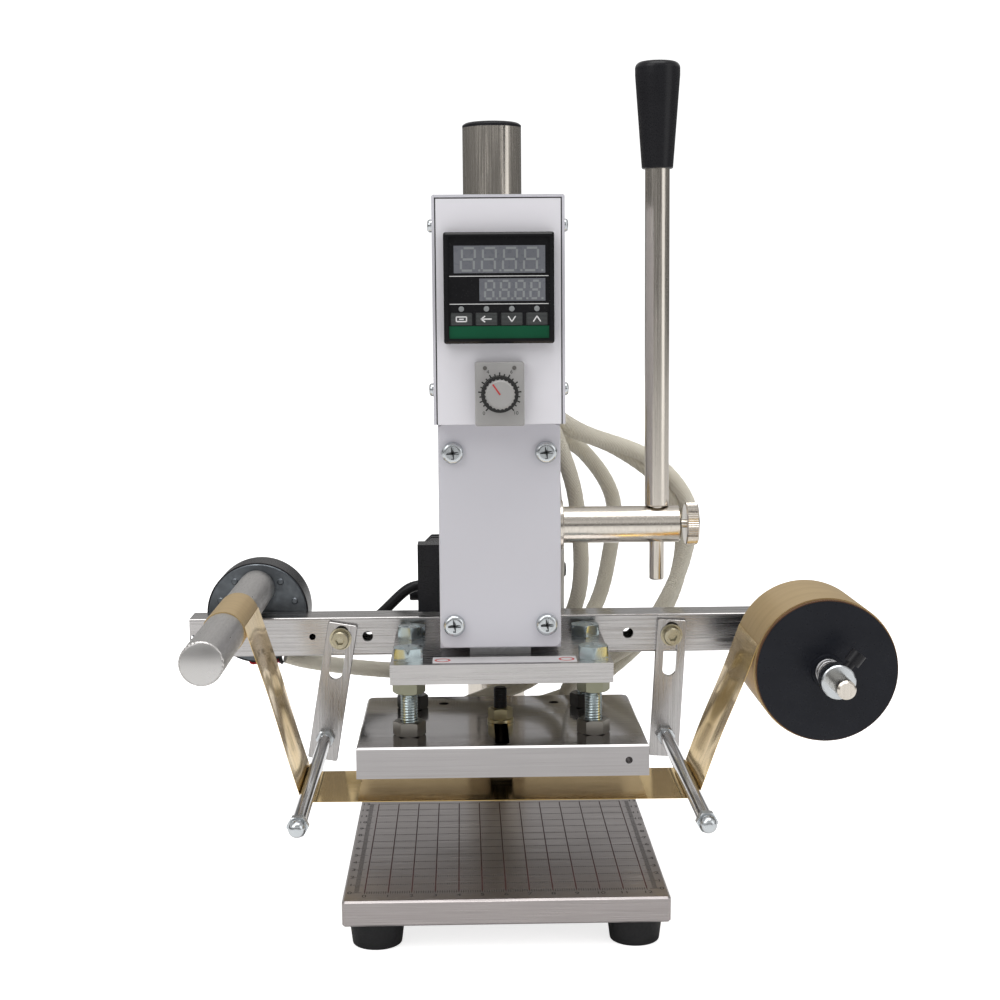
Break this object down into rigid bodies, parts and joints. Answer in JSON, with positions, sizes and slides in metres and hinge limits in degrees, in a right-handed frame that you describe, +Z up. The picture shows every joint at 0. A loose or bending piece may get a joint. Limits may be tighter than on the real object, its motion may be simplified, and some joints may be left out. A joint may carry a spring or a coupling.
{
  "type": "hot foil stamper",
  "caption": "Bench hot foil stamping press: lever-driven ram, heated plate, motorised foil feed and a control box on a column.",
  "frame": {"origin": "middle of the ram's axis on the top face of the work table", "axes": "+X to the operator's right, +Y away from the operator, +Z up"},
  "size_m": [0.325, 0.2687, 0.382],
  "materials": {
    "brushed_plate": "brushed stainless plate printed with a centimetre grid",
    "black_rubber": "moulded black rubber",
    "nickel": "satin nickel plate",
    "chrome": "bright chrome",
    "black_plastic": "moulded black plastic",
    "gloss_black": "glossy black plastic",
    "white_powder": "off-white powder coat",
    "zinc": "bright zinc plated steel",
    "steel": "plain machined steel",
    "brass": "turned bronze bush",
    "aluminium": "mill-finish aluminium",
    "silver_plastic": "silver-grey moulded plastic",
    "key_plastic": "dark hatched key",
    "motor_metal": "grey pressed motor can",
    "gold_foil": "gold stamping film",
    "sleeve": "beige woven fibreglass sleeve"
  },
  "bodies": {
    "stand": {"base_plate": "brushed_plate", "rubber_feet": "black_rubber", "base_screws": "zinc", "column": "nickel", "column_cap": "black_plastic"},
    "head": {"press_body": "white_powder", "front_cover": "white_powder", "cover_screws": "zinc", "shaft_bushes": "brass", "spring_pin": "steel", "return_spring": "steel", "box_chassis": "white_powder", "box_cover": "white_powder", "box_screws": "zinc", "controller_case": "gloss_black", "timer_case": "silver_plastic", "switch_frame": "gloss_black", "mains_inlet": "black_plastic", "mains_cord": "black_plastic", "lead_sleeves": "sleeve"},
    "clamp_knob_right": {"clamp_knob_right": "black_plastic"},
    "clamp_knob_left": {"clamp_knob_left": "black_plastic"},
    "key_set": {"key_set": "key_plastic"},
    "key_shift": {"key_shift": "key_plastic"},
    "key_down": {"key_down": "key_plastic"},
    "key_up": {"key_up": "key_plastic"},
    "timer_dial": {"timer_dial": "silver_plastic"},
    "rocker": {"rocker": "gloss_black"},
    "lever": {"pinion_shaft": "steel", "lever_hub": "nickel"},
    "lever_rod": {"lever_rod": "nickel", "lever_grip": "black_plastic"},
    "lock_knob": {"lock_knob": "nickel"},
    "carriage": {"ram": "steel", "upper_plate": "aluminium", "ram_screws": "steel", "hex_bolts": "zinc", "plate_nuts": "zinc", "heating_plate": "aluminium", "heater_cartridges": "steel", "temperature_probe": "steel", "foil_bar": "aluminium", "bar_fixings": "zinc", "arm_bolts": "zinc", "takeup_motor": "motor_metal", "supply_spindle": "nickel", "brake_spring": "steel", "stop_collar": "zinc", "foil_web": "gold_foil"},
    "die_clamp": {"die_clamp": "steel"},
    "arm_left": {"arm_left": "aluminium", "rod_left": "chrome", "rod_nuts_left": "zinc"},
    "arm_right": {"arm_right": "aluminium", "rod_right": "chrome", "rod_nuts_right": "zinc"},
    "takeup_roller": {"takeup_roller": "aluminium"},
    "supply_reel": {"foil_roll": "gold_foil", "reel_flanges": "black_plastic"},
    "collar_screw": {"collar_screw": "black_plastic"}
  },
  "joints": [
    {"name": "head_height", "type": "slide", "parent": "stand", "child": "head", "axis": [0, 0, 1], "range_m": [0, 0.03]},
    {"name": "lever_turn", "type": "hinge", "parent": "head", "child": "lever", "pos_m": [0, 0.02, 0.1427], "axis": [1, 0, 0], "range_deg": [0, 114.5]},
    {"name": "ram_slide", "type": "slide", "parent": "head", "child": "carriage", "axis": [0, 0, -1], "range_m": [0, 0.03], "deforming": ["return_spring", "lead_sleeves"]},
    {"name": "lever_extend", "type": "slide", "parent": "lever", "child": "lever_rod", "axis": [0, 0, 1], "range_m": [0, 0.015]},
    {"name": "lock_knob_turn", "type": "hinge", "parent": "lever", "child": "lock_knob", "pos_m": [0.09, 0.02, 0.1427], "axis": [1, 0, 0], "continuous": true},
    {"name": "clamp_right_turn", "type": "hinge", "parent": "head", "child": "clamp_knob_right", "pos_m": [0.033, 0.096, 0.1095], "axis": [1, 0, 0], "continuous": true},
    {"name": "clamp_left_turn", "type": "hinge", "parent": "head", "child": "clamp_knob_left", "pos_m": [-0.041, 0.096, 0.0982], "axis": [1, 0, 0], "continuous": true},
    {"name": "timer_dial_turn", "type": "hinge", "parent": "head", "child": "timer_dial", "pos_m": [0, -0.044, 0.2086], "axis": [0, 1, 0], "range_deg": [-105, 175]},
    {"name": "rocker_tilt", "type": "hinge", "parent": "head", "child": "rocker", "pos_m": [-0.014, 0.069, 0.228], "axis": [1, 0, 0], "range_deg": [0, 9]},
    {"name": "arm_left_swing", "type": "hinge", "parent": "carriage", "child": "arm_left", "pos_m": [-0.077, 0.035, 0.086], "axis": [0, 1, 0], "range_deg": [-12, 8], "deforming": ["foil_web"]},
    {"name": "arm_right_swing", "type": "hinge", "parent": "carriage", "child": "arm_right", "pos_m": [0.085, 0.035, 0.086], "axis": [0, 1, 0], "range_deg": [-12, 8], "deforming": ["foil_web"]},
    {"name": "supply_spin", "type": "hinge", "parent": "carriage", "child": "supply_reel", "pos_m": [0.14, -0.04, 0.089], "axis": [0, 1, 0], "continuous": true, "deforming": ["foil_web"]},
    {"name": "takeup_spin", "type": "hinge", "parent": "carriage", "child": "takeup_roller", "pos_m": [-0.12, -0.04, 0.108], "axis": [0, 1, 0], "continuous": true, "deforming": ["foil_web"]},
    {"name": "die_clamp_slide", "type": "slide", "parent": "carriage", "child": "die_clamp", "axis": [0, -1, 0], "range_m": [0, 0.036]},
    {"name": "collar_screw_turn", "type": "hinge", "parent": "carriage", "child": "collar_screw", "pos_m": [0.14, -0.087, 0.089], "axis": [0.6157, 0, 0.788], "continuous": true},
    {"name": "key_set_press", "type": "slide", "parent": "head", "child": "key_set", "axis": [0, 1, 0], "range_m": [0, 0.0006]},
    {"name": "key_shift_press", "type": "slide", "parent": "head", "child": "key_shift", "axis": [0, 1, 0], "range_m": [0, 0.0006]},
    {"name": "key_down_press", "type": "slide", "parent": "head", "child": "key_down", "axis": [0, 1, 0], "range_m": [0, 0.0006]},
    {"name": "key_up_press", "type": "slide", "parent": "head", "child": "key_up", "axis": [0, 1, 0], "range_m": [0, 0.0006]}
  ],
  "couplings": [
    {"joint": "ram_slide", "follows": "lever_turn", "m_per_rad": 0.015},
    {"joint": "supply_spin", "follows": "takeup_spin", "ratio": 0.292}
  ]
}
